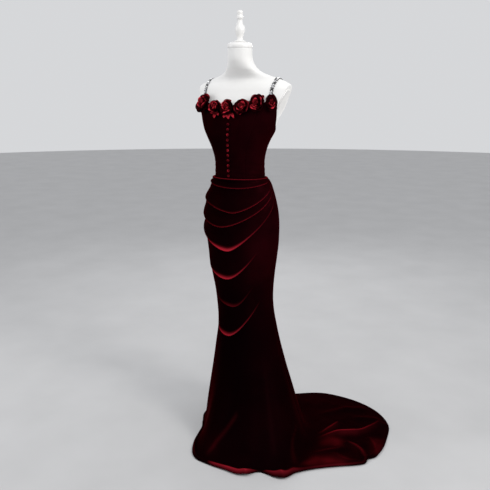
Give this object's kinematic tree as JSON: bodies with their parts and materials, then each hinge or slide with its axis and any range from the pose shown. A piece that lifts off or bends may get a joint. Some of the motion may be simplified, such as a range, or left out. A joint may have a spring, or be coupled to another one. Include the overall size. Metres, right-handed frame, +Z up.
{
  "type": "mermaid dress on dress form",
  "caption": "Floor-length velvet mermaid dress with draped swags, neckline roses, front buttons, jewelled straps and a swept train, worn by a limbless dress form on a stand.",
  "frame": {"origin": "middle of the stand's foot, on the floor", "axes": "+Z up, -Y towards the front of the dress, +X towards the wearer's left, where the train lies"},
  "size_m": [0.8172, 0.8093, 1.717],
  "materials": {
    "velvet": "deep burgundy velvet with a red sheen where it turns away",
    "rose_velvet": "burgundy velvet petals with a satin-like sheen",
    "button_velvet": "velvet-covered dome",
    "crystal": "clear stones in silver-coloured settings",
    "form_cover": "smooth white jersey over a hard shell",
    "form_fittings": "white satin lacquer",
    "stand_paint": "white paint"
  },
  "bodies": {
    "root": {"bodice_back_left": "velvet", "bodice_back_right": "velvet", "bodice_front_left": "velvet", "bodice_front_right": "velvet", "bodice_side_front_left": "velvet", "bodice_side_front_right": "velvet", "button_1": "button_velvet", "button_10": "button_velvet", "button_11": "button_velvet", "button_2": "button_velvet", "button_3": "button_velvet", "button_4": "button_velvet", "button_5": "button_velvet", "button_6": "button_velvet", "button_7": "button_velvet", "button_8": "button_velvet", "button_9": "button_velvet", "form_arm_plate_left": "form_fittings", "form_arm_plate_right": "form_fittings", "form_base": "stand_paint", "form_finial": "form_fittings", "form_neck_cap": "form_fittings", "form_pole": "stand_paint", "form_torso": "form_cover", "rose_1": "rose_velvet", "rose_2": "rose_velvet", "rose_3": "rose_velvet", "rose_4": "rose_velvet", "rose_5": "rose_velvet", "rose_6": "rose_velvet", "skirt_back_left": "velvet", "skirt_back_right": "velvet", "skirt_front": "velvet", "strap_left": "crystal", "strap_right": "crystal"}
  },
  "joints": []
}
